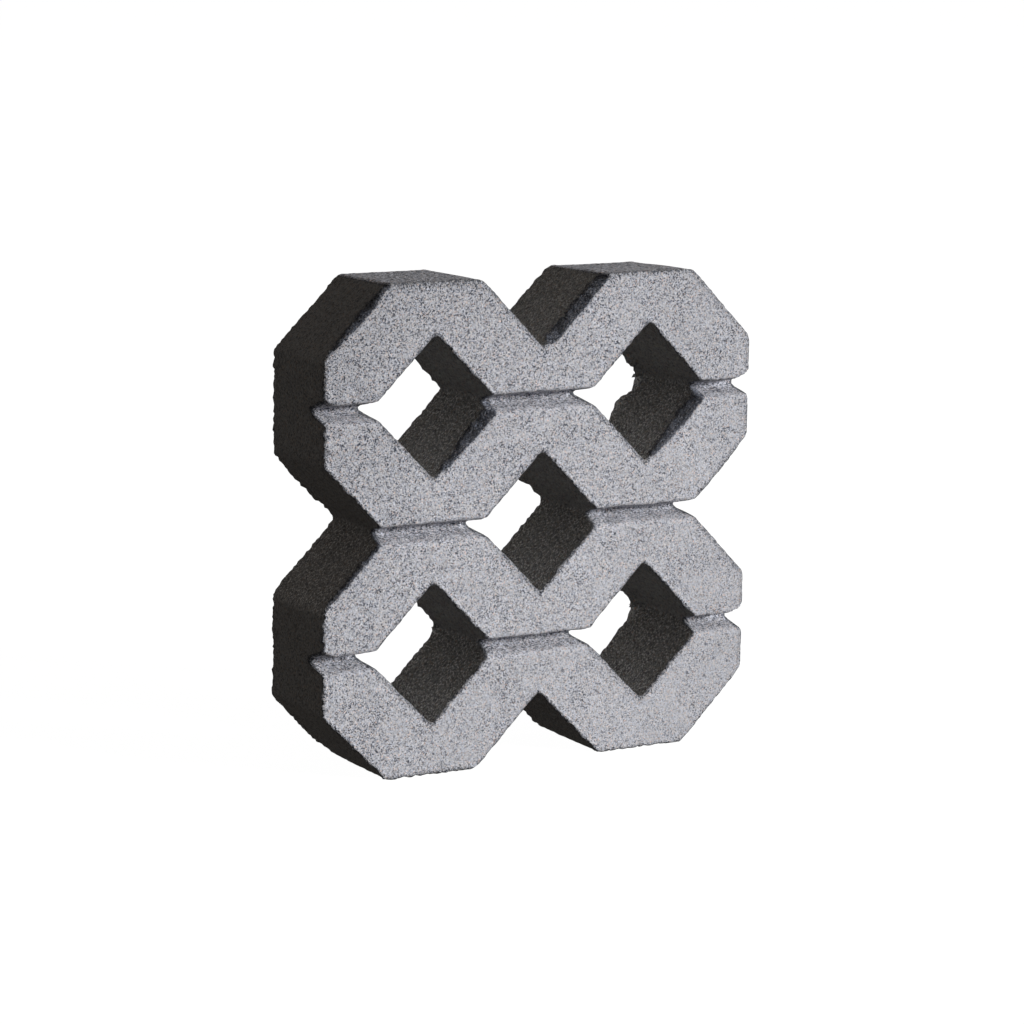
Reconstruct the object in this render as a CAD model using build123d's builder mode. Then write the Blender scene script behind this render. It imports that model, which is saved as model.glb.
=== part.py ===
"""Grass paver block: one concrete casting, a lattice of eight-sided cells with diamond openings.

The block stands on its bottom flats, with its wearing face towards -Y and its bedding face towards +Y.
Its origin is the middle of its footprint, X runs across the block and Z up it. All sizes are millimetres.
"""

import os
from math import radians, sin, sqrt, tan

from build123d import *

# Driving dimensions
CELL = 200.0  # one cell, from flat to flat
COLUMNS = 2  # cells across the block
ROWS = 2  # cells up the block
STRAND_WIDTH = 58.6  # width of the slanting strands between two openings
THICKNESS = 90.0  # from the wearing face to the bedding face
RIM_CORNER_RADIUS = 8.0  # corners where a rim flat meets a slanting side
OPENING_CORNER_RADIUS = 5.0  # corners inside the openings and the rim notches
GROOVE_DEPTH = 25.0  # grooves that part one row of strands from the next
GROOVE_FLANK_ANGLE = 12.5  # each flank, away from square to the wearing face, in degrees
GROOVE_ROOT_RADIUS = 3.0
GROOVE_LIP_RADIUS = 3.0
ARRIS_RADIUS = 2.5  # edge between the wearing face, grooves included, and the walls

# Sizes that follow from them
WIDTH = COLUMNS * CELL
HEIGHT = ROWS * CELL
FLAT_LENGTH = STRAND_WIDTH * sqrt(2)  # where two cells, or two neighbouring blocks, meet
OPENING_HALF_DIAGONAL = (CELL - FLAT_LENGTH) / 2
OPENING_SIDE = OPENING_HALF_DIAGONAL * sqrt(2)
WEARING_FACE_Y = -THICKNESS / 2
BEDDING_FACE_Y = THICKNESS / 2
GROOVE_LEVELS = [level * CELL / 2 for level in range(1, 2 * ROWS)]
# The flanks run on past the rounded root to meet at the apex.
GROOVE_APEX = GROOVE_DEPTH + GROOVE_ROOT_RADIUS * (1 / sin(radians(GROOVE_FLANK_ANGLE)) - 1)
GROOVE_HALF_WIDTH = GROOVE_APEX * tan(radians(GROOVE_FLANK_ANGLE))
TOUCH = 1e-4  # two places closer than this are the same place


def on_rim(corner):
    """True for a corner on the rectangle that the plan is cut from, in the plan's own axes."""
    return abs(abs(corner.X) - WIDTH / 2) < TOUCH or abs(abs(corner.Y) - HEIGHT / 2) < TOUCH


def is_wall(face):
    """True for a face that stands square to the wearing face, flat or rounding a corner."""
    return abs(face.normal_at().Y) < TOUCH


def is_arris(edge):
    """True for an edge of a wall that runs along the front of it."""
    at_front = edge.center().Y < BEDDING_FACE_Y - TOUCH
    across = abs(edge.tangent_at(0.5).Y) < 1 - TOUCH
    return at_front and across


# Tool that presses one groove: a V with a rounded root and rounded lips, its mouth on Y = 0
with BuildPart() as groove_tool:
    with BuildSketch(Plane.YZ) as groove_section:
        shoulder = GROOVE_HALF_WIDTH + GROOVE_LIP_RADIUS
        with BuildLine():
            Polyline(
                (-shoulder, -shoulder),
                (-shoulder, shoulder),
                (0, shoulder),
                (0, GROOVE_HALF_WIDTH),
                (GROOVE_APEX, 0),
                (0, -GROOVE_HALF_WIDTH),
                (0, -shoulder),
                close=True,
            )
        make_face()
        fillet(groove_section.vertices().sort_by(Axis.X)[-1], GROOVE_ROOT_RADIUS)
        lips = [v for v in groove_section.vertices() if abs(abs(v.Y) - GROOVE_HALF_WIDTH) < TOUCH]
        fillet(lips, GROOVE_LIP_RADIUS)
    extrude(amount=WIDTH, both=True)

# The casting
with BuildPart() as paver_block:
    bed = Plane(origin=(0, BEDDING_FACE_Y, HEIGHT / 2), x_dir=(1, 0, 0), z_dir=(0, -1, 0))
    with BuildSketch(bed) as plan:
        Rectangle(WIDTH, HEIGHT)
        # One diamond in the middle of each cell, and one on each corner that cells share.
        # The diamonds on the rim leave its notches and its cut-off corners.
        with GridLocations(CELL, CELL, COLUMNS, ROWS):
            Rectangle(OPENING_SIDE, OPENING_SIDE, rotation=45, mode=Mode.SUBTRACT)
        with GridLocations(CELL, CELL, COLUMNS + 1, ROWS + 1):
            Rectangle(OPENING_SIDE, OPENING_SIDE, rotation=45, mode=Mode.SUBTRACT)
        fillet([v for v in plan.vertices() if not on_rim(v)], OPENING_CORNER_RADIUS)
        fillet([v for v in plan.vertices() if on_rim(v)], RIM_CORNER_RADIUS)
    extrude(amount=THICKNESS)

    # The grooves run straight across, and meet solid only where two strands join.
    with Locations(*[(0, WEARING_FACE_Y, level) for level in GROOVE_LEVELS]):
        add(groove_tool.part, mode=Mode.SUBTRACT)

    # With the lips and roots already round, each arris is one smooth run that dips through the grooves.
    walls = paver_block.faces().filter_by(is_wall)
    fillet(walls.edges().filter_by(is_arris), ARRIS_RADIUS)

paver_block.part.label = "paver_block"
os.makedirs("parts", exist_ok=True)
export_step(paver_block.part, "parts/paver_block.step")

box = paver_block.part.bounding_box()
print(f"paver_block from {box.min} to {box.max}, {paver_block.part.volume / 1e6:.3f} litres")
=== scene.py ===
# %% [markdown]
# A grass paver block is one casting of pressed concrete. It is a lattice of slanting strands around
# diamond openings for turf, with V-grooves across the wearing face. The CAD part already holds that
# shape at its real size. What it lacks is what a press, sand and cement leave behind: a grainy skin,
# edges that crumbled a little on leaving the mould, drag marks down the walls and thin flash where
# paste crept out at the bed. So this lesson builds the block's skin again, point by point, with numpy.

import bpy
import numpy as np
from mathutils import Matrix, Vector


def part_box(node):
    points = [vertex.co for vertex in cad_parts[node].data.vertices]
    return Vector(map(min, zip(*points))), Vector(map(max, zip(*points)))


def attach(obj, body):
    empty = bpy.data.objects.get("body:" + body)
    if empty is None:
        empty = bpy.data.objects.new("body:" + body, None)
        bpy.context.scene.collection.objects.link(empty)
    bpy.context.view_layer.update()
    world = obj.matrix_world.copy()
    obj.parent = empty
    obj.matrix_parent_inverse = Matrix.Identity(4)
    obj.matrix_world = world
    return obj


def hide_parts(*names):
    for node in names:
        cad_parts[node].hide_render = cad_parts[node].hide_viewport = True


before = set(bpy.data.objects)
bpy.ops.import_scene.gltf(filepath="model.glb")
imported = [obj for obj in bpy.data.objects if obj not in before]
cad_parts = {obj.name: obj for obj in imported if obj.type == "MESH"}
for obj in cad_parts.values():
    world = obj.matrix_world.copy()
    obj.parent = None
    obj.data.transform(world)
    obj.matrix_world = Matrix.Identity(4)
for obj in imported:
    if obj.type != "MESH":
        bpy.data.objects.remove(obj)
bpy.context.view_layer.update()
MM = 0.001  # the skin is worked out in millimetres and written in metres
low, high = (np.array(corner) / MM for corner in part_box("paver_block"))
print("CAD block in millimetres, from", low.round(2), "to", high.round(2))

# %% [markdown]
# The plan of the block repeats every 100 mm, mirrored each time, so it can be told from one small rule.
# Fold the plan until it lies in one 100 mm square and add the two folded coordinates: the sum is
# constant along every slanting wall. Solid is where the sum stays between two limits. A square grid
# whose step divides 100 mm then meets every wall exactly on a diagonal of its squares, so the skin needs
# no cutting tool. A boolean would give the same outline, with long thin triangles that shade badly.

# %% Which points of the grid are concrete
HALF_CELL = 100.0  # fold of the plan
STEPS = 53  # grid steps in half a cell
HALF_FLAT = 22  # grid steps in half of a flat
STEP = HALF_CELL / STEPS
column, row = np.meshgrid(np.arange(4 * STEPS + 1), np.arange(4 * STEPS + 1), indexing="ij")


def folded(index):
    """Distance in steps from the nearest even fold, rising and falling between 0 and STEPS."""
    return np.abs((index + STEPS) % (2 * STEPS) - STEPS)


fold_sum = folded(column) + folded(row) - STEPS
solid = np.abs(fold_sum) <= HALF_FLAT
number = np.full(solid.shape, -1)
number[solid] = np.arange(solid.sum())
point = np.stack([column[solid] * STEP + low[0], row[solid] * STEP + low[2]], axis=1)
print(len(point), "points of the grid are concrete,", (~solid).sum(), "are openings")

# %% Triangles between them, with a diagonal that follows the walls
rising = np.sign(folded(np.arange(1, 4 * STEPS + 1)) - folded(np.arange(4 * STEPS)))
along = rising[:, None] == rising[None, :]
a, b = number[:-1, :-1], number[1:, :-1]
c, d = number[1:, 1:], number[:-1, 1:]
first = np.where(along[..., None], np.stack([a, b, d], -1), np.stack([a, b, c], -1))
second = np.where(along[..., None], np.stack([b, c, d], -1), np.stack([a, c, d], -1))
triangles = np.concatenate([first.reshape(-1, 3), second.reshape(-1, 3)])
triangles = triangles[(triangles >= 0).all(axis=1)]
print(len(triangles), "triangles cover the wearing face")

# %% Rim of the skin: edges that have concrete on one side only
edges = np.concatenate([triangles[:, [0, 1]], triangles[:, [1, 2]], triangles[:, [2, 0]]])
code = edges[:, 0] * len(point) + edges[:, 1]
back_code = edges[:, 1] * len(point) + edges[:, 0]
rim_edges = edges[~np.isin(code, back_code)]
after = np.full(len(point), -1)
before = np.full(len(point), -1)
after[rim_edges[:, 0]] = rim_edges[:, 1]
before[rim_edges[:, 1]] = rim_edges[:, 0]
rim = np.flatnonzero(after >= 0)
print(len(rim), "points lie on the walls")

# %% [markdown]
# Cast concrete has no sharp corner in plan: the mould is rounded, or the corner would crumble. Here the
# corners are rounded by relaxing the grid. Each wall point moves towards the middle of its two
# neighbours along the wall, which does nothing on a straight run and cuts across a corner. The points
# inside follow the mean of their neighbours, so no triangle is crushed.

# %% Round the corners of the plan
CORNER_PASSES = 4
EASE = 0.5  # share of its way that a point goes in one pass
inside = after < 0
neighbours = np.bincount(edges[:, 0], minlength=len(point))[:, None]


def neighbour_mean(values):
    """Mean of the values, two for each point, over that point's neighbours in the grid."""
    totals = [np.bincount(edges[:, 0], values[edges[:, 1], axis], len(point)) for axis in (0, 1)]
    return np.stack(totals, 1) / neighbours


for _ in range(CORNER_PASSES):
    middle = (point[before[rim]] + point[after[rim]]) / 2
    mean = neighbour_mean(point)
    point[rim] += EASE * (middle - point[rim])
    point[inside] += EASE * (mean[inside] - point[inside])
print("corners rounded; plan spans", point.min(axis=0).round(1), "to", point.max(axis=0).round(1))

# %% [markdown]
# Nothing on concrete is quite even, so most steps below need lumps: a smooth random height that changes
# over a chosen length. Value noise is enough. It takes one random number for each corner of a cubic
# lattice and blends smoothly between them. The numbers come from a seeded table, so every run of this
# lesson makes the same block.

# %% Smooth random lumps
TABLE = np.random.default_rng(7).uniform(-1.0, 1.0, 4096)


def lumps(x, y, z, size, seed=0):
    """Random heights from -1 to 1 on the corners of cubes of this size, blended by 3t^2 - 2t^3 between."""
    place = np.stack(np.broadcast_arrays(x, y, z), -1) / size + 0.37 * seed
    cell = np.floor(place).astype(np.int64)
    part = place - cell
    part = part * part * (3 - 2 * part)
    height = 0.0
    for corner in np.ndindex(2, 2, 2):
        at = (cell + corner) @ np.array([73856093, 19349663, 83492791]) + 101 * seed
        height = height + TABLE[at % 4096] * np.prod(np.where(corner, part, 1 - part), axis=-1)
    return height


print("lumps spread", lumps(point[:, 0], 0, point[:, 1], 6.0).std().round(2))

# %% [markdown]
# A fresh arris loses grains here and there. The rim moves in and out by lumps a few millimetres long,
# most of all on the walls that look left. Moving only the rim would fold the grid behind it, so the
# shift is carried inward, a little weaker at each step.

# %% Crumble the arrises in plan
CRUMBLE = 1.3  # how far grains break out of an arris or stand off it
SHELTERED = 0.4  # share of that on walls that look right
TEAR = 2.2  # deepest tear in the arris of a left flat
SWELL, SWELL_LONG = 1.9, 22.0  # one wall bulged by this much, over this length
SWELL_X, SWELL_Z = 171.0, 229.0  # and here
SPREAD_PASSES, SPREAD_KEPT = 6, 0.8  # steps that the rim's shift is carried, and its share at each


def spread(shift):
    """Shift of all points when the rim moves: in each pass, inner ones take 0.8 of the mean beside them."""
    whole = np.zeros((len(point), 2))
    whole[rim] = shift
    for _ in range(SPREAD_PASSES):
        whole[inside] = SPREAD_KEPT * neighbour_mean(whole)[inside]
    return whole


step_on = point[after[rim]] - point[before[rim]]
outward = np.stack([step_on[:, 1], -step_on[:, 0]], 1)
outward /= np.linalg.norm(outward, axis=1, keepdims=True)
rim_x, rim_z = point[rim, 0], point[rim, 1]
broken = lumps(rim_x, 0, rim_z, 2.6, 14) + 0.6 * lumps(rim_x, 0, rim_z, 7.0, 15)
swell = SWELL * np.exp(-((rim_x - SWELL_X) ** 2 + (rim_z - SWELL_Z) ** 2) / (2 * SWELL_LONG**2))
chip = CRUMBLE * broken * np.where(outward[:, 0] > 0, SHELTERED, 1.0)
chip -= TEAR * (outward[:, 0] < -0.9) * (lumps(rim_x, 0, rim_z, 2.9, 21) + 0.1).clip(0, 1)
point += spread(outward * (chip + swell)[:, None])
print("arrises crumble by", chip.min().round(2), "to", chip.max().round(2), "mm")

# %% [markdown]
# The wearing face is a height field: one depth behind the front plane for each point of the grid.
# Three depths are added. The first rounds the arris, by a quarter circle that starts where the wall is
# one radius away. The second is the V-groove, a straight flank between two arcs, or a steep bevel
# where that is deeper: arrises that look up and left slumped while the block was fresh, most of all in
# its upper half. The last is the loose skin of the casting.

# %% Distance to the nearest wall, and which way that wall looks
x, z = point[:, 0], point[:, 1]
i, k, s = column[solid], row[solid], fold_sum[solid]
to_slant = (HALF_FLAT - np.abs(s)) * STEP / np.sqrt(2)
to_rim = np.minimum(np.minimum(i, 4 * STEPS - i), np.minimum(k, 4 * STEPS - k)) * STEP
to_wall = np.minimum(to_slant, to_rim)
to_left = -np.sign(s) * np.where(i // STEPS % 2 == 0, 1, -1)
to_top = np.sign(s) * np.where(k // STEPS % 2 == 0, 1, -1)
to_fold = np.minimum(folded(i), STEPS - folded(i)) * STEP
level = np.round(z / HALF_CELL).clip(1, 3) * HALF_CELL  # of the nearest groove
up_left = (to_slant <= to_rim) & (to_left > 0) & (to_top > 0)
on_left = (to_rim < to_slant) & (x < 0)
print("points near an arris that looks up and left:", (up_left & (to_wall < 5)).sum())

# %% Depth of the rounded arris
CRISP, BITE = 0.9, 2.2  # mean radius, and how much wider it is where a bite is missing
TORN, TORN_AT_GROOVE = 2.6, 3.5  # on the left flats, and more at the ends of the grooves
arris = CRISP * (1 + 0.25 * lumps(x, 0, z, 9.0, 1)) + BITE * (lumps(x, 0, z, 5.0, 2) - 0.35).clip(0, 1)
torn = TORN + TORN_AT_GROOVE * np.exp(-(((z - level + 3) / 6) ** 2))
arris = arris + torn * (lumps(x, 0, z, 3.4, 17) + 0.05).clip(0, 1) * on_left
gap = (arris - to_wall).clip(0, None)
arris_depth = arris - np.sqrt((arris**2 - gap**2).clip(0, None))
print("arris from", arris.min().round(2), "to", arris.max().round(2), "mm")

# %% Depth of the slumped bevels
BEVEL_WIDTH, BEVEL_STEEP = 5.0, 2.4
BEVEL_END = 9.0  # a bevel runs out over this length before a corner
SLUMPED = 1.2  # a bevel wider than this shows as a band of its own
RIM_SLANTS = -141.0  # left of this, the slants are the rim's own, and slumped less
outer = 0.4 + 0.4 * np.exp(-(((x + 163) / 12) ** 2)) * (z > 300)
upper = ((z - 215) / 60).clip(0.08, 1)
fade = (to_fold / BEVEL_END).clip(0, 1) * np.where(x < RIM_SLANTS, outer, upper)
bevel_width = BEVEL_WIDTH * up_left * fade
bevel_width = bevel_width * (1 + 0.15 * lumps(x, 0, z, 12.0, 18) + 0.12 * lumps(x, 0, z, 3.2, 16))
bevel = BEVEL_STEEP * (bevel_width - to_wall).clip(0, None)
print("bevels up to", bevel.max().round(1), "mm deep")

# %% Depth of the V-grooves
GROOVE_DEPTH, FLANK, ROOT = 25.0, np.radians(12.5), 3.0
UPPER_LIP, LOWER_LIP = 1.2, 4.0
LIP_DROP = 1.2  # the upper lip lies this much low
FLARE_RIGHT, FLARE_LEFT = 0.8, 0.7  # and rises by this share at the ends
FLARE_FROM, FLARE_LONG = 186.0, 14.0
APEX = GROOVE_DEPTH + ROOT * (1 / np.sin(FLANK) - 1)


def groove_depth(offset):
    """Depth at an offset from the groove's line: root arc, flank at 12.5 degrees, then lip arc."""
    q = np.abs(offset)
    radius = np.where(offset > 0, UPPER_LIP, LOWER_LIP)
    lip_centre = APEX * np.tan(FLANK) + radius * np.tan((np.pi / 2 - FLANK) / 2)
    root = GROOVE_DEPTH - ROOT + np.sqrt((ROOT**2 - q**2).clip(0, None))
    flank = APEX - q / np.tan(FLANK)
    lip = radius - np.sqrt(radius**2 - np.minimum(lip_centre - q, radius).clip(0, None) ** 2)
    depth = np.where(q < ROOT * np.cos(FLANK), root, flank)
    return np.where(q > lip_centre - radius * np.cos(FLANK), lip, depth)


offset = z - level + 0.7 * lumps(x, 0, z, 17.0, 3) + 0.6 * lumps(x, 0, z, 4.0, 13)
flare = np.where(x > 0, FLARE_RIGHT, FLARE_LEFT) * ((np.abs(x) - FLARE_FROM) / FLARE_LONG).clip(0, 1) ** 2
groove = groove_depth(np.where(offset > 0, (offset + LIP_DROP) / (1 + flare), offset))
print("grooves reach", groove.max().round(1), "mm at", np.unique(level))

# %% Loose skin, and the front points
loose = 0.25 + 0.12 * lumps(x, 0, z, 4.0, 4) + 0.13 * lumps(x, 0, z, 23.0, 5)
front_y = low[1] + arris_depth + np.maximum(bevel, groove) + loose
print("wearing face lies", loose.min().round(2), "to", loose.max().round(2), "mm behind the front plane")

# %% [markdown]
# A wall is a profile carried along the rim: every rim point gets a column of points from its arris
# straight back to the bed. The columns lean in and out a little. Long streaks run front to back,
# because the mould slid off that way. At the bed, paste crept under the mould and set as thin ragged
# flash, which fills the right-hand corners of some openings. It is thickest at the bed and
# gone a few millimetres from it, so it falls off as exp(-t^2). The openings also narrow evenly towards
# the bed, by the draft that lets the mould come away.

# %% Which way each wall looks in plan, eased round the corners
slot = np.full(len(point), -1)
slot[rim] = np.arange(len(rim))
next_slot, last_slot = slot[after[rim]], slot[before[rim]]
TURN_PASSES = 16


def smoothed(values, passes):
    """Rim values after this many passes, each a half of the value and a quarter of each one beside it."""
    for _ in range(passes):
        values = (values[last_slot] + 2 * values + values[next_slot]) / 4
    return values


eased = smoothed(outward, TURN_PASSES)
eased = eased / np.linalg.norm(eased, axis=1, keepdims=True)
print("wall directions eased round", (np.sum(eased * outward, 1) < 0.97).sum(), "corner points")

# %% How far the flash reaches into each opening
FLASH = [  # where it is thickest, how far it reaches and how long the patch is, in millimetres
    (112, 346, 4.5, 12), (130, 328, 5.5, 10), (143, 315, 6.5, 8), (150, 308, 7.5, 5), (156, 300, 13.5, 7),
    (150, 292, 6.0, 5), (133, 274, 6.5, 7), (36, 223, 5.0, 8), (50, 208, 2.5, 4), (14, 246, 4.0, 11),
    (114, 145, 4.5, 12), (140, 118, 5.5, 9), (150, 109, 6.0, 5), (156, 100, 12.0, 7), (150, 91, 5.5, 5),
    (140, 80, 1.5, 9), (-43, 100, 5.5, 5), (-55, 315, 1.0, 14), (-170, 229, 2.4, 24), (-170, 30, 1.6, 26),
    (57, 200, 2.5, 4), (-30, 230, 1.5, 14), (60, 320, 2.0, 12), (-130, 70, 1.5, 12), (66, 70, 2.5, 10),
]
rim_x, rim_z = point[rim, 0], point[rim, 1]
flash = 0.25 + 0.4 * lumps(rim_x, 0, rim_z, 8.0, 6)
for patch_x, patch_z, reach, length in FLASH:
    away = (rim_x - patch_x) ** 2 + (rim_z - patch_z) ** 2
    flash = np.maximum(flash, reach * np.exp(-away / (2 * length**2)))
flash *= 0.95 + 0.2 * lumps(rim_x, 0, rim_z, 5.5, 7) + 0.05 * lumps(rim_x, 0, rim_z, 2.0, 11)
flash += 0.7 * lumps(rim_x, 0, rim_z, 2.2, 12)
print("flash from", flash.min().round(2), "to", flash.max().round(2), "mm")

# %% How far the back edges of the rim are worn instead
WORN, MORE_TOP_RIGHT, LESS_TOP_LEFT = 1.6, 1.1, 0.3
WORN_PASSES = 30
upper_corner = (np.abs(rim_x) > 145) & (rim_z > 345)
worn = np.where((to_rim[rim] <= to_slant[rim]) | upper_corner, WORN, 0.0)
worn += np.where(rim_x > 50, MORE_TOP_RIGHT, -LESS_TOP_LEFT) * (rim_z > 396)
flash *= worn == 0
worn = smoothed(worn, WORN_PASSES)
print("back edges worn by up to", worn.max().round(2), "mm")

# %% Columns of the walls
LAYERS = 28
DRAFT, FLASH_THICK = 2.0, 4.0  # how much a wall leans into its opening, and how thick the flash is
WORN_LONG, WORN_LONG_TOP = 26.0, 42.0  # how far from the bed the wear reaches, and on the top flats
RAGGED_DEEP, CHIP_DEEP = 4.0, 5.0  # how far down a wall its ends are ragged, and its arris chipped
in_opening = (s[rim] == HALF_FLAT) | (np.hypot(rim_x, rim_z - 200) < 70)
t = np.linspace(0, 1, LAYERS + 1)
t = t - 0.75 * np.sin(2 * np.pi * t) / (2 * np.pi)  # closer together near both ends
start = front_y[rim][:, None]
wall_y = start + (high[1] - start) * t
from_bed, from_front = high[1] - wall_y, wall_y - start
on_top = ((eased[:, 1:] - 0.8) / 0.15).clip(0, 1) * (rim_z > 390)[:, None]
streak = lumps(rim_x[:, None], wall_y / 5, rim_z[:, None], 3.2, 8)
crumb = lumps(rim_x[:, None], wall_y, rim_z[:, None], 2.8, 9)
ragged = 0.95 * lumps(rim_x, 0, rim_z, 2.4, 19) + 0.5 * lumps(rim_x, 0, rim_z, 5.5, 20)
lean = 0.15 * streak + crumb * (0.4 + 0.8 * np.exp(-from_front / RAGGED_DEEP))
lean = lean + ragged[:, None] * np.exp(-from_bed / RAGGED_DEEP)
lean = lean * (1 - 0.8 * on_top) - 0.3 + DRAFT * in_opening[:, None] * t
lean -= worn[:, None] * np.exp(-((from_bed / np.where(on_top > 0.5, WORN_LONG_TOP, WORN_LONG)) ** 2))
lean *= (from_front / 2).clip(0, 1)
lean -= chip[:, None] * (1 - np.exp(-from_front / CHIP_DEEP))
skirt = flash[:, None] * np.exp(-((from_bed / FLASH_THICK) ** 2))
wall_x = rim_x[:, None] + outward[:, :1] * lean + eased[:, :1] * skirt
wall_z = rim_z[:, None] + outward[:, 1:] * lean + eased[:, 1:] * skirt
print(wall_y.size, "points in", len(rim), "columns")

# %% [markdown]
# The bed is the same grid again, turned round. Its rim takes the last point of every column, so the
# skin closes without a seam. Five marks go with the points, for the finish: how much of a wall each one
# is, how much of a groove, where the skin tore and is coarser, how much of a slumped bevel, which gets
# painted shade, how much of a top flat, and how much of a wall that looks up and left, which gets
# painted light. The faces know whether they are bed. Last, everything is held inside the CAD block's box.

# %% Put the points together
points_front = np.stack([x, front_y, z], 1)
bed_dent = 0.15 + 0.15 * lumps(x, 0, z, 6.0, 10)
bed_dent[rim] = 0
bed_plan = point + spread(np.stack([wall_x[:, -1] - rim_x, wall_z[:, -1] - rim_z], 1))
points_bed = np.stack([bed_plan[:, 0], high[1] - bed_dent, bed_plan[:, 1]], 1)
points_wall = np.stack([wall_x[:, 1:-1], wall_y[:, 1:-1], wall_z[:, 1:-1]], -1).reshape(-1, 3)
points_all = np.clip(np.concatenate([points_front, points_bed, points_wall]), low, high)
print(len(points_all), "points in the skin")

# %% Marks for the finish
LOOSE, LOOSE_LEFT, LOOSE_SLUMPED = 7.0, 12.0, 3.5  # how far in from an arris the face is loose
WALL_BLEND = 12.0  # how far down the wall it still shows
GROOVE_COARSE = 6.0  # a groove this deep is all coarse
FLASH_PAINTED_LIGHT = 2.5  # flash that reaches this far gets twice the painted light
PAINTED_LIGHT_PASSES = 4
inner = np.ones((1, LAYERS - 1))
loose_width = np.where(on_left, LOOSE_LEFT, np.where(bevel_width > SLUMPED, LOOSE_SLUMPED, LOOSE))
wall_share = np.concatenate([
    (0.5 - to_wall / loose_width).clip(0, 1),
    np.ones(len(points_bed)),
    (0.5 + from_front[:, 1:-1] / WALL_BLEND).clip(0, 1).ravel(),
])
groove_mark = (groove / GROOVE_COARSE).clip(0, 1)
coarse_share = np.concatenate([groove_mark, np.zeros(len(points_bed) + len(points_wall))])
# where a slumped bevel is, for its band of painted shade
bevel_shade = (0.5 + (bevel_width - to_wall) / 3).clip(0, 1) * (bevel_width > SLUMPED)
bevel_shade *= (0.4 + to_fold / 25).clip(0, 1)  # it breaks up towards its ends
bevel_shade_share = np.concatenate([bevel_shade, np.zeros(len(points_bed)), (bevel_shade[rim][:, None] * inner).ravel()])
top_share = np.concatenate([np.zeros(2 * len(point)), (on_top * inner).ravel()])
top_share[len(point) + rim] = on_top[:, 0]
# painted light: walls that look up and left, and most of all the flash at their bed, are made paler
painted_lit = up_left[rim] * np.where(rim_x > RIM_SLANTS, 1.0, np.where(rim_z < 300, 0.8, 0.0))
painted_lit = smoothed(painted_lit * np.where(rim_z > 340, 0.55, 1.0), PAINTED_LIGHT_PASSES)
painted_lit = painted_lit[:, None] * (1 + skirt[:, 1:-1] / FLASH_PAINTED_LIGHT)
painted_light_share = np.concatenate([np.zeros(2 * len(point)), painted_lit.ravel()])
painted_light_share[rim] = painted_lit[:, 0]
painted_light_share[len(point) + rim] = painted_lit[:, -1]
marks = {
    "wall_share": wall_share, "coarse_share": coarse_share, "bevel_shade_share": bevel_shade_share,
    "top_share": top_share, "painted_light_share": painted_light_share,
}
print("means of the marks:", {name: values.mean().round(3) for name, values in marks.items()})

# %% Put the faces together
size = len(point)
columns = np.concatenate([
    rim[:, None],
    2 * size + np.arange(len(rim) * (LAYERS - 1)).reshape(len(rim), -1),
    size + rim[:, None],
], axis=1)
here, there = columns[slot[rim_edges[:, 0]]], columns[slot[rim_edges[:, 1]]]
quads = np.stack([there[:, :-1], here[:, :-1], here[:, 1:], there[:, 1:]], -1).reshape(-1, 4)
corners = np.concatenate([triangles.ravel(), (triangles[:, ::-1] + size).ravel(), quads.ravel()])
lengths = np.concatenate([np.full(2 * len(triangles), 3), np.full(len(quads), 4)])
starts = np.concatenate([[0], np.cumsum(lengths)[:-1]])
is_bed = np.zeros(len(lengths), dtype=np.int32)
is_bed[len(triangles):2 * len(triangles)] = 1
print(2 * len(triangles) + 2 * len(quads), "triangles in the skin")

# %% Make the skin and let it stand for the CAD block
skin = bpy.data.meshes.new("block_skin")
skin.vertices.add(len(points_all))
skin.vertices.foreach_set("co", (points_all * MM).astype(np.float32).ravel())
skin.loops.add(len(corners))
skin.loops.foreach_set("vertex_index", corners.astype(np.int32))
skin.polygons.add(len(lengths))
skin.polygons.foreach_set("loop_start", starts.astype(np.int32))
skin.polygons.foreach_set("material_index", is_bed)
skin.polygons.foreach_set("use_smooth", np.ones(len(lengths), dtype=bool))
skin.update(calc_edges=True)
for name, values in marks.items():
    skin.attributes.new(name, "FLOAT", "POINT").data.foreach_set("value", values.astype(np.float32))
block = bpy.data.objects.new("concrete_skin", skin)
bpy.context.scene.collection.objects.link(block)
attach(block, "root")
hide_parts("paver_block")
print("skin has faults:", skin.validate(verbose=False))

# %% [markdown]
# Two finishes share two effects, so each effect is a node group. The first is the mix itself: grains of
# sand, each with its own grey, some blue, a few rust red, in pale cement. A Voronoi texture does this,
# because its Color output is one random colour for each cell. The second is the relief of the grains,
# for the bump. All of it reads Object coordinates, so grains run on unbroken round every edge.

# %% Helpers for node trees


def add(tree, kind, **settings):
    """New node of this kind, with its settings; a name of an input sets that input's value or link."""
    node = tree.nodes.new(kind)
    for name, value in settings.items():
        if name in node.inputs:
            join(tree, value, node.inputs[name])
        else:
            setattr(node, name, value)
    return node


def join(tree, value, socket):
    """Link an output to a socket, or set the socket's own value."""
    if isinstance(value, bpy.types.NodeSocket):
        tree.links.new(value, socket)
    else:
        socket.default_value = value


def sums(tree, operation, *values):
    """Output of one Math node over these values, which may be outputs or numbers."""
    node = tree.nodes.new("ShaderNodeMath")
    node.operation = operation
    for value, socket in zip(values, node.inputs):
        join(tree, value, socket)
    return node.outputs[0]


def blend(tree, mode, factor, first_colour, second_colour):
    """Output of one colour Mix node."""
    node = tree.nodes.new("ShaderNodeMix")
    node.data_type, node.blend_type, node.clamp_factor = "RGBA", mode, True
    for value, name in ((factor, "Factor_Float"), (first_colour, "A_Color"), (second_colour, "B_Color")):
        join(tree, value, next(s for s in node.inputs if s.identifier == name))
    return next(s for s in node.outputs if s.identifier == "Result_Color")


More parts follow.
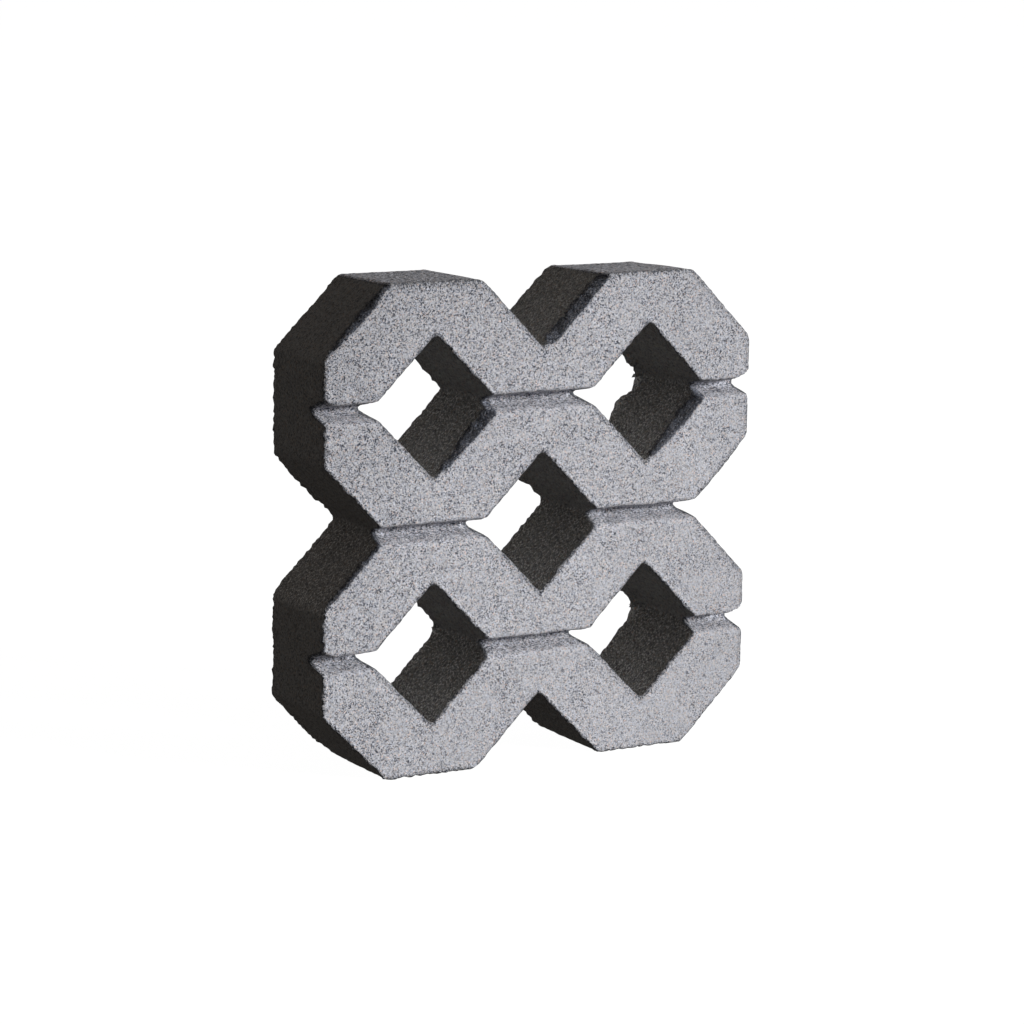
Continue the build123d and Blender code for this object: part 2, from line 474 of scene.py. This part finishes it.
def ramp(tree, factor, *stops):
    """Output colour of a ramp through these (place, grey or colour) stops."""
    node = tree.nodes.new("ShaderNodeValToRGB")
    join(tree, factor, node.inputs["Fac"])
    points = node.color_ramp.elements
    while len(points) < len(stops):
        points.new(0.5)
    for element, (place, tone) in zip(points, stops):
        element.position = place
        element.color = (*((tone,) * 3 if isinstance(tone, float) else tone), 1.0)
    return node.outputs["Color"]


def noise(tree, place, scale, detail, roughness):
    """Output of one Noise texture: smooth values around 0.5, with this many lumps in a metre."""
    node = add(tree, "ShaderNodeTexNoise", Vector=place, Scale=scale, Detail=detail, Roughness=roughness)
    return node.outputs["Fac"]


def grains(tree, place, scale):
    """One Voronoi texture: the distance from the middle of each grain, and three random numbers for it."""
    node = add(tree, "ShaderNodeTexVoronoi", Vector=place, Scale=scale)
    lots = add(tree, "ShaderNodeSeparateColor", Color=node.outputs["Color"]).outputs
    return node.outputs["Distance"], lots


print("node helpers ready")

# %% Helpers for node groups


def new_group(name, inputs, outputs):
    """Empty shader node group with named sockets: (name, socket kind, default) in, (name, kind) out."""
    tree = bpy.data.node_groups.new(name, "ShaderNodeTree")
    for title, kind, value in inputs:
        socket = tree.interface.new_socket(title, in_out="INPUT", socket_type=kind)
        if value is not None:
            socket.default_value = value
    for title, kind in outputs:
        tree.interface.new_socket(title, in_out="OUTPUT", socket_type=kind)
    return tree, tree.nodes.new("NodeGroupInput").outputs, tree.nodes.new("NodeGroupOutput").inputs


def placed(tree, group, place, values):
    """One node of a group at these coordinates, with values for its other inputs."""
    return add(tree, "ShaderNodeGroup", node_tree=group, Place=place, **values)


print("group helpers ready")

# %% Group: sand and cement
VALUE, COLOUR, VECTOR = "NodeSocketFloat", "NodeSocketColor", "NodeSocketVector"
DUST_FINER, SPECKS_FEWER = 2.1, 0.22  # how many in a metre, for each grain of sand
SPECK_PICKED, SPECK_SIZE, SPECK_SHOWS = 0.8, 0.34, 0.75
# dark specks: dark sand, and partly painted shade in open pores
SPECK_AND_PORE_SHADE_COLOUR = (0.10, 0.105, 0.125, 1)
mix_group, given, gives = new_group(
    "sand_and_cement",
    [
        ("Place", VECTOR, None),
        ("Grains per metre", VALUE, 1000.0),
        ("Cement", COLOUR, (0.42, 0.42, 0.43, 1)),
        ("Grain contrast", VALUE, 1.0),
        ("Coarse specks", VALUE, 1.0),
    ],
    [("Colour", COLOUR), ("Grain", VALUE)],
)
sand = grains(mix_group, given["Place"], given["Grains per metre"])[1]
tone = ramp(mix_group, sand["Red"], (0.0, (0.08, 0.09, 0.12)), (0.11, (0.17, 0.185, 0.22)),
            (0.26, (0.64, 0.65, 0.67)), (0.6, 1.0), (1.0, 1.2))
tone = blend(mix_group, "MIX", given["Grain contrast"], (1, 1, 1, 1), tone)
hue = ramp(mix_group, sand["Green"], (0.0, (1.18, 0.93, 0.80)), (0.06, (1.05, 0.99, 0.93)),
           (0.3, 1.0), (0.8, (0.95, 0.99, 1.06)))
dust_scale = sums(mix_group, "MULTIPLY", given["Grains per metre"], DUST_FINER)
dust = grains(mix_group, given["Place"], dust_scale)[1]
dust_tone = ramp(mix_group, dust["Red"], (0.0, 0.40), (0.25, 0.88), (1.0, 1.16))
speck_scale = sums(mix_group, "MULTIPLY", given["Grains per metre"], SPECKS_FEWER)
from_middle, specks = grains(mix_group, given["Place"], speck_scale)
picked = sums(mix_group, "GREATER_THAN", specks["Red"], SPECK_PICKED)
near = sums(mix_group, "LESS_THAN", from_middle, sums(mix_group, "MULTIPLY", specks["Green"], SPECK_SIZE))
speck = sums(mix_group, "MULTIPLY", sums(mix_group, "MULTIPLY", picked, near), given["Coarse specks"])
colour = blend(mix_group, "MULTIPLY", 1.0, given["Cement"], tone)
colour = blend(mix_group, "MULTIPLY", 1.0, colour, hue)
colour = blend(mix_group, "MULTIPLY", given["Grain contrast"], colour, dust_tone)
colour = blend(mix_group, "MIX", sums(mix_group, "MULTIPLY", speck, SPECK_SHOWS), colour, SPECK_AND_PORE_SHADE_COLOUR)
mix_group.links.new(colour, gives["Colour"])
mix_group.links.new(sand["Red"], gives["Grain"])
print("sand_and_cement has", len(mix_group.nodes), "nodes")

# %% Group: relief of the grains
PITS_FEWER, PIT_PICKED = 0.35, 0.65
relief_group, given, gives = new_group(
    "grain_relief",
    [("Place", VECTOR, None), ("Grains per metre", VALUE, 700.0), ("Pits", VALUE, 1.0)],
    [("Height", VALUE)],
)
rough = noise(relief_group, given["Place"], given["Grains per metre"], 2.0, 0.6)
pit_scale = sums(relief_group, "MULTIPLY", given["Grains per metre"], PITS_FEWER)
from_middle, pits = grains(relief_group, given["Place"], pit_scale)
hollow = ramp(relief_group, from_middle, (0.12, 1.0), (0.4, 0.0))
hollow = sums(relief_group, "MULTIPLY", hollow, sums(relief_group, "GREATER_THAN", pits["Red"], PIT_PICKED))
hollow = sums(relief_group, "MULTIPLY", hollow, given["Pits"])
relief_group.links.new(sums(relief_group, "SUBTRACT", rough, hollow), gives["Height"])
print("grain_relief has", len(relief_group.nodes), "nodes")

# %% [markdown]
# The wearing face, the walls and the top flats are one finish with three moods. The face is pale and full
# of contrast, most of all in the upper left and in patches where more dark sand lies open. The walls
# rubbed against the mould, so paste covers their grains and they are more even; their darker cement is
# partly painted shade. Their relief is drawn out along the strands, because the press packed the mix in
# layers. The top flats are coarser, and paler by painted light. Moods meet grain by grain, not in a line:
# a mark on the points says how far along the change each place is, and noise breaks it into grains.
# Slumped bevels get a band of painted shade, with painted glints.

# %% Pressed concrete: its groups and marks
FACE_CEMENT = (0.459, 0.456, 0.477, 1)
# the top flats' paler cement is painted light
TOP_CEMENT_PAINTED_LIT = (0.538, 0.534, 0.559, 1)
# the walls' darker cement is partly painted shade
WALL_CEMENT_AND_SHADE = (0.334, 0.326, 0.317, 1)
DRAWN_OUT = (0.7, 1.0, 0.7)
pressed = bpy.data.materials.new("pressed_concrete")
pressed.use_nodes = True
tree = pressed.node_tree
shader = tree.nodes["Principled BSDF"]
place = add(tree, "ShaderNodeTexCoord").outputs["Object"]
drawn = add(tree, "ShaderNodeMapping", Vector=place, Scale=DRAWN_OUT).outputs["Vector"]
sides = add(tree, "ShaderNodeSeparateXYZ", Vector=place).outputs
mark = {name: add(tree, "ShaderNodeAttribute", attribute_name=name).outputs["Fac"] for name in marks}
across = sums(tree, "SUBTRACT", sides["X"], sides["Z"])
open_sand = sums(tree, "MULTIPLY_ADD", across, -0.75, 0.68)
open_sand = sums(tree, "MULTIPLY_ADD", mark["coarse_share"], 0.35, open_sand)
bare = sums(tree, "SUBTRACT", noise(tree, place, 42.0, 2.0, 0.6), 0.5)
open_sand = sums(tree, "MULTIPLY_ADD", bare, 1.3, open_sand)
face_mix = placed(tree, mix_group, place, {"Cement": FACE_CEMENT, "Grain contrast": open_sand})
face_relief = placed(tree, relief_group, place, {})
top_mix = placed(tree, mix_group, place, {"Cement": TOP_CEMENT_PAINTED_LIT, "Grains per metre": 640.0})
top_relief = placed(tree, relief_group, place, {"Grains per metre": 450.0})
wall_values = {"Cement": WALL_CEMENT_AND_SHADE, "Grain contrast": 0.65, "Coarse specks": 0.4}
wall_mix = placed(tree, mix_group, drawn, wall_values)
wall_relief = placed(tree, relief_group, drawn, {"Grains per metre": 800.0, "Pits": 0.4})
print("pressed_concrete reads", list(mark))

# %% Pressed concrete: where its moods meet
wall_mark, bevel_shade_mark = mark["wall_share"], mark["bevel_shade_share"]
break_up = noise(tree, place, 540.0, 3.0, 0.7)
band = sums(tree, "MULTIPLY", wall_mark, sums(tree, "SUBTRACT", 1.0, wall_mark))
top = sums(tree, "MULTIPLY_ADD", break_up, 0.9, mark["top_share"])
top = ramp(tree, top, (0.85, 0.0), (1.0, 1.0))
edge = sums(tree, "MULTIPLY_ADD", break_up, 1.6, sums(tree, "SUBTRACT", wall_mark, 0.8))
wall = ramp(tree, edge, (0.42, 0.0), (0.62, 1.0))
wall = sums(tree, "MULTIPLY", wall, sums(tree, "SUBTRACT", 1.0, top))
# painted shade on the slumped bevels
painted_bevel_shade = sums(tree, "MULTIPLY_ADD", break_up, 0.9, bevel_shade_mark)
painted_bevel_shade = ramp(tree, painted_bevel_shade, (0.95, 0.0), (1.0, 1.0))
# painted shade: dark pits in a band along the arrises, none on slumped bevels
loose_edge = sums(tree, "MULTIPLY_ADD", mark["coarse_share"], 0.25, wall_mark)
painted_pit_shade = sums(tree, "MULTIPLY_ADD", loose_edge, -0.32, break_up)
painted_pit_shade = ramp(tree, painted_pit_shade, (0.32, 1.0), (0.38, 0.0))
painted_pit_shade = sums(tree, "MULTIPLY", painted_pit_shade, sums(tree, "MULTIPLY", loose_edge, 6.0))
painted_pit_shade = sums(tree, "MULTIPLY", painted_pit_shade, ramp(tree, wall_mark, (0.42, 1.0), (0.54, 0.0)))
painted_pit_shade = sums(tree, "MULTIPLY", painted_pit_shade, sums(tree, "SUBTRACT", 1.0, bevel_shade_mark))
print("pressed_concrete has", len(tree.nodes), "nodes so far")

# %% Pressed concrete: colour of the face, with painted light in its middle, lower left and grooves
PIT_SHADE_COLOUR = (0.08, 0.086, 0.102, 1)
BEVEL_SHADE_DARK, BEVEL_GLINT_PALE = (0.27, 0.29, 0.325, 1), (0.95, 0.97, 1.0, 1)
patch = ramp(tree, noise(tree, place, 16.0, 4.0, 0.55), (0.3, 0.95), (0.7, 1.05))
# painted light: the face is made paler in its middle and lower left, and in the grooves
up_slope = sums(tree, "MULTIPLY_ADD", sides["Z"], -2.13, 0.524)
side_slope = sums(tree, "MULTIPLY_ADD", sides["Z"], 1.81, -0.292)
side_slope = sums(tree, "MULTIPLY_ADD", sides["X"], -2.24, side_slope)
painted_light = sums(tree, "MULTIPLY_ADD", sides["Z"], up_slope, 1.167)
painted_light = sums(tree, "MULTIPLY_ADD", sides["X"], side_slope, painted_light)
painted_light = sums(tree, "MULTIPLY_ADD", mark["coarse_share"], 0.3, painted_light)
# painted glints: pale flecks drawn out along the strands
painted_glints = ramp(tree, noise(tree, drawn, 760.0, 1.5, 0.6), (0.54, 0.0), (0.62, 1.0))
# the dark band of a bevel is painted shade, and its pale flecks are painted glints
bevel_shade_colour = blend(tree, "MIX", sums(tree, "MULTIPLY", painted_glints, 0.6), BEVEL_SHADE_DARK, BEVEL_GLINT_PALE)
face_colour = blend(tree, "MIX", top, face_mix.outputs["Colour"], top_mix.outputs["Colour"])
face_colour = blend(tree, "MULTIPLY", 1.0, face_colour, sums(tree, "MULTIPLY", patch, painted_light))
face_colour = blend(tree, "MULTIPLY", painted_bevel_shade, face_colour, bevel_shade_colour)
# painted shade in the pits along the arrises
face_colour = blend(tree, "MIX", painted_pit_shade, face_colour, PIT_SHADE_COLOUR)
print("pressed_concrete has", len(tree.nodes), "nodes so far")

# %% Pressed concrete: colour of the walls, with painted light on walls that look up and left
GLINT_COLOUR = (0.95, 0.94, 0.93, 1)
# painted glints on every wall, most on those that look up and left
wall_glints = sums(tree, "MULTIPLY", painted_glints, sums(tree, "MULTIPLY_ADD", mark["painted_light_share"], 0.9, 0.15))
# painted light on the walls that look up and left and on their flash
painted_lit_flash = sums(tree, "MAXIMUM", sums(tree, "SUBTRACT", mark["painted_light_share"], 1.0), 0.0)
painted_lit_wall = sums(tree, "MULTIPLY_ADD", mark["painted_light_share"], 0.15, 1.0)
painted_lit_wall = sums(tree, "MULTIPLY_ADD", painted_lit_flash, 0.35, painted_lit_wall)
wall_colour = blend(tree, "MULTIPLY", 1.0, wall_mix.outputs["Colour"], painted_lit_wall)
wall_colour = blend(tree, "MIX", wall_glints, wall_colour, GLINT_COLOUR)
join(tree, blend(tree, "MIX", wall, face_colour, wall_colour), shader.inputs["Base Color"])
print("pressed_concrete has", len(tree.nodes), "nodes so far")

# %% Pressed concrete: relief and gloss
GLOSS = 0.25  # dry concrete hardly shines
face_rough = sums(tree, "MULTIPLY_ADD", band, 6.0, sums(tree, "MULTIPLY_ADD", top, 0.7, 0.35))
face_height = blend(tree, "MIX", top, face_relief.outputs["Height"], top_relief.outputs["Height"])
face_height = sums(tree, "MULTIPLY", face_height, face_rough)
wall_rough = sums(tree, "MULTIPLY_ADD", band, 2.0, 1.1)
wall_height = sums(tree, "MULTIPLY", wall_relief.outputs["Height"], wall_rough)
relief = blend(tree, "MIX", wall, face_height, wall_height)
bump = add(tree, "ShaderNodeBump", Strength=1.0, Distance=0.001, Height=relief)
join(tree, bump.outputs["Normal"], shader.inputs["Normal"])
join(tree, ramp(tree, face_mix.outputs["Grain"], (0.0, 0.82), (1.0, 0.96)), shader.inputs["Roughness"])
shader.inputs["Specular IOR Level"].default_value = GLOSS
skin.materials.append(pressed)
print("pressed_concrete has", len(tree.nodes), "nodes")

# %% [markdown]
# The bed is the face nobody sees once the block is laid. It was struck off, not pressed, so it is a
# little darker and its pits are more open. It uses the same two groups with other values.

# %% Struck concrete, for the bed
BED_CEMENT = (0.420, 0.415, 0.410, 1)
struck = bpy.data.materials.new("struck_concrete")
struck.use_nodes = True
tree = struck.node_tree
shader = tree.nodes["Principled BSDF"]
place = add(tree, "ShaderNodeTexCoord").outputs["Object"]
bed_mix = placed(tree, mix_group, place, {"Cement": BED_CEMENT, "Grain contrast": 0.8})
bed_relief = placed(tree, relief_group, place, {"Grains per metre": 450.0, "Pits": 1.6})
patch = ramp(tree, noise(tree, place, 22.0, 5.0, 0.6), (0.3, 0.82), (0.7, 1.1))
join(tree, blend(tree, "MULTIPLY", 1.0, bed_mix.outputs["Colour"], patch), shader.inputs["Base Color"])
bump = add(tree, "ShaderNodeBump", Strength=0.7, Distance=0.0008, Height=bed_relief.outputs["Height"])
join(tree, bump.outputs["Normal"], shader.inputs["Normal"])
join(tree, ramp(tree, bed_mix.outputs["Grain"], (0.0, 0.85), (1.0, 0.97)), shader.inputs["Roughness"])
shader.inputs["Specular IOR Level"].default_value = GLOSS
skin.materials.append(struck)
print("struck_concrete has", len(tree.nodes), "nodes")

# %% [markdown]
# The studio is a pale floor and one broad lamp, low and to the right of the front. Walls that look left
# get only the dim surroundings, which is what gives the openings their depth. The floor glows a little
# so that it stays pale, but it is hidden from the block's own light, or it would fill those walls.

# %% Floor
REACH = 40.0  # metres each way
ground = bpy.data.meshes.new("floor")
square = [(-REACH, -REACH, 0), (REACH, -REACH, 0), (REACH, REACH, 0), (-REACH, REACH, 0)]
ground.from_pydata(square, [], [(0, 1, 2, 3)])
floor = bpy.data.objects.new("floor", ground)
bpy.context.scene.collection.objects.link(floor)
floor.visible_diffuse = False
floor.visible_glossy = False
floor_finish = bpy.data.materials.new("pale_floor")
floor_finish.use_nodes = True
paint = floor_finish.node_tree.nodes["Principled BSDF"]
paint.inputs["Base Color"].default_value = (0.12, 0.12, 0.12, 1)
paint.inputs["Roughness"].default_value = 0.9
paint.inputs["Specular IOR Level"].default_value = 0.0
paint.inputs["Emission Color"].default_value = (1, 1, 1, 1)
paint.inputs["Emission Strength"].default_value = 0.99
ground.materials.append(floor_finish)
print("floor laid")

# %% Lamp
LAMP_WAY = np.array([0.54, -0.785, 0.30])
LAMP_FAR, LAMP_SIZE, LAMP_POWER = 8.0, 1.8, 744.0
BLOCK_MIDDLE = np.array([0.0, 0.0, 0.2])
lamp = bpy.data.lights.new("key", "AREA")
lamp.shape, lamp.size, lamp.energy = "DISK", LAMP_SIZE, LAMP_POWER
key = bpy.data.objects.new("key", lamp)
bpy.context.scene.collection.objects.link(key)
key.location = BLOCK_MIDDLE + LAMP_FAR * LAMP_WAY / np.linalg.norm(LAMP_WAY)
key.rotation_euler = Vector(-LAMP_WAY).to_track_quat("-Z", "Y").to_euler()
print("lamp stands at", np.round(key.location, 2))

# %% Surroundings: a white backdrop, and a dim dome that lights the shade
world = bpy.data.worlds.new("surroundings")
bpy.context.scene.world = world
world.use_nodes = True
sky = world.node_tree
seen = add(sky, "ShaderNodeLightPath").outputs["Is Camera Ray"]
way = add(sky, "ShaderNodeTexCoord").outputs["Generated"]
rise = add(sky, "ShaderNodeSeparateXYZ", Vector=way).outputs["Z"]
height = sums(sky, "MULTIPLY_ADD", rise, 0.5, 0.5)
dome = ramp(sky, height, (0.0, (0.046, 0.043, 0.040)), (1.0, (0.112, 0.104, 0.097)))
backdrop = blend(sky, "MIX", seen, dome, (1.0, 1.0, 1.0, 1))
join(sky, backdrop, sky.nodes["Background"].inputs["Color"])
bpy.context.scene.view_settings.view_transform = "Standard"
print("surroundings have", len(sky.nodes), "nodes")

# %% [markdown]
# The camera is the photograph's: far off, with a long lens, a little to the left and a little above.
# Its place comes from fitting the straight edges of the block, so it is given by what it looks at, the
# three turns and the distance.

# %% Camera
LOOK_AT = np.array([-0.02818, -0.04473, 0.21006])
AWAY = 2.727
YAW, PITCH, ROLL = np.radians([30.755, 10.266, 0.923])
ahead = np.array([np.sin(YAW) * np.cos(PITCH), np.cos(YAW) * np.cos(PITCH), -np.sin(PITCH)])
level_right = np.array([np.cos(YAW), -np.sin(YAW), 0.0])
level_up = np.cross(level_right, ahead)
right = np.cos(ROLL) * level_right + np.sin(ROLL) * level_up
up = np.cos(ROLL) * level_up - np.sin(ROLL) * level_right
pose = np.eye(4)
pose[:3] = np.stack([right, up, -ahead, LOOK_AT - AWAY * ahead], axis=1)
lens = bpy.data.cameras.new("camera")
lens.lens, lens.sensor_width, lens.clip_end = 118.84, 36.0, 50.0
camera = bpy.data.objects.new("camera", lens)
bpy.context.scene.collection.objects.link(camera)
camera.matrix_world = Matrix(pose)
bpy.context.scene.camera = camera
print("camera stands at", (LOOK_AT - AWAY * ahead).round(3))

# %% The end
print("scene built")
